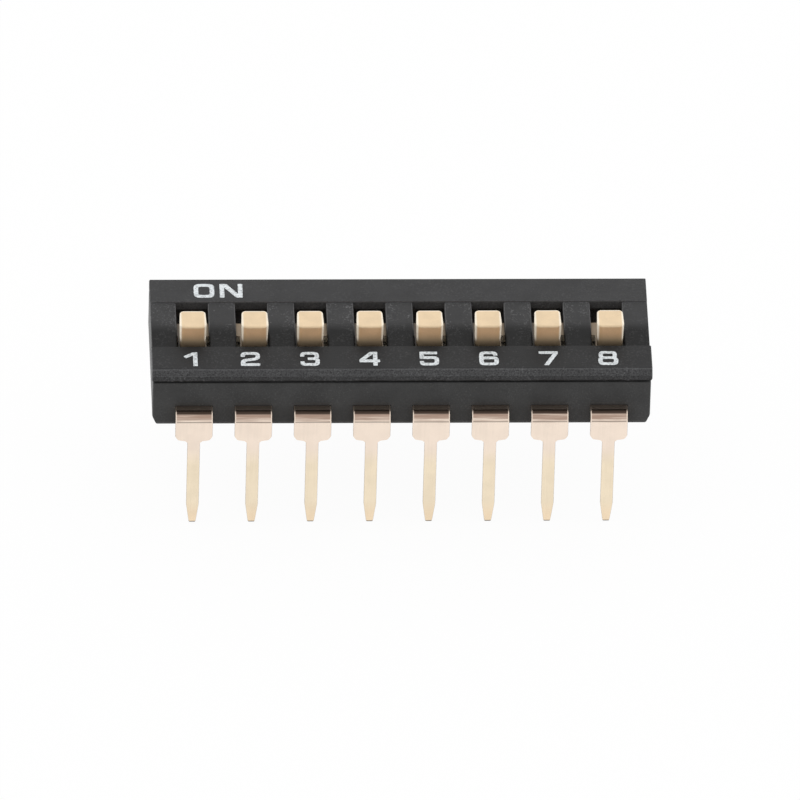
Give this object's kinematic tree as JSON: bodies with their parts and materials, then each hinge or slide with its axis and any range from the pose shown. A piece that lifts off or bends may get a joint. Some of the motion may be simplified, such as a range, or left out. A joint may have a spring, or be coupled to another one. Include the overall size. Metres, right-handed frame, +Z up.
{
  "type": "slide dip switch",
  "caption": "Low black dual-in-line switch with a row of beige sliders in slots in its cover and two rows of gold-plated bent leads.",
  "frame": {"origin": "middle of the box's underside, in the plane of the lead tips", "axes": "+X along the row from way 1, +Y from off at the front to on at the back, +Z up out of the board"},
  "size_m": [0.0214, 0.0078, 0.0087],
  "materials": {
    "cover_plastic": "fine matte black",
    "base_plastic": "fine matte black",
    "slider_plastic": "satin beige",
    "contact_metal": "gold plated",
    "lead_metal": "pale gold plating"
  },
  "bodies": {
    "housing": {"cover": "cover_plastic", "base": "base_plastic", "front_lead_1": "lead_metal", "front_lead_2": "lead_metal", "front_lead_3": "lead_metal", "front_lead_4": "lead_metal", "front_lead_5": "lead_metal", "front_lead_6": "lead_metal", "front_lead_7": "lead_metal", "front_lead_8": "lead_metal", "back_lead_1": "lead_metal", "back_lead_2": "lead_metal", "back_lead_3": "lead_metal", "back_lead_4": "lead_metal", "back_lead_5": "lead_metal", "back_lead_6": "lead_metal", "back_lead_7": "lead_metal", "back_lead_8": "lead_metal"},
    "switch_1": {"slider_1": "slider_plastic", "contact_1": "contact_metal"},
    "switch_2": {"slider_2": "slider_plastic", "contact_2": "contact_metal"},
    "switch_3": {"slider_3": "slider_plastic", "contact_3": "contact_metal"},
    "switch_4": {"slider_4": "slider_plastic", "contact_4": "contact_metal"},
    "switch_5": {"slider_5": "slider_plastic", "contact_5": "contact_metal"},
    "switch_6": {"slider_6": "slider_plastic", "contact_6": "contact_metal"},
    "switch_7": {"slider_7": "slider_plastic", "contact_7": "contact_metal"},
    "switch_8": {"slider_8": "slider_plastic", "contact_8": "contact_metal"}
  },
  "joints": [
    {"name": "switch_1_slide", "type": "slide", "parent": "housing", "child": "switch_1", "axis": [0, 1, 0], "range_m": [0, 0.0017]},
    {"name": "switch_2_slide", "type": "slide", "parent": "housing", "child": "switch_2", "axis": [0, 1, 0], "range_m": [0, 0.0017]},
    {"name": "switch_3_slide", "type": "slide", "parent": "housing", "child": "switch_3", "axis": [0, 1, 0], "range_m": [0, 0.0017]},
    {"name": "switch_4_slide", "type": "slide", "parent": "housing", "child": "switch_4", "axis": [0, 1, 0], "range_m": [0, 0.0017]},
    {"name": "switch_5_slide", "type": "slide", "parent": "housing", "child": "switch_5", "axis": [0, 1, 0], "range_m": [0, 0.0017]},
    {"name": "switch_6_slide", "type": "slide", "parent": "housing", "child": "switch_6", "axis": [0, 1, 0], "range_m": [0, 0.0017]},
    {"name": "switch_7_slide", "type": "slide", "parent": "housing", "child": "switch_7", "axis": [0, 1, 0], "range_m": [0, 0.0017]},
    {"name": "switch_8_slide", "type": "slide", "parent": "housing", "child": "switch_8", "axis": [0, 1, 0], "range_m": [0, 0.0017]}
  ]
}
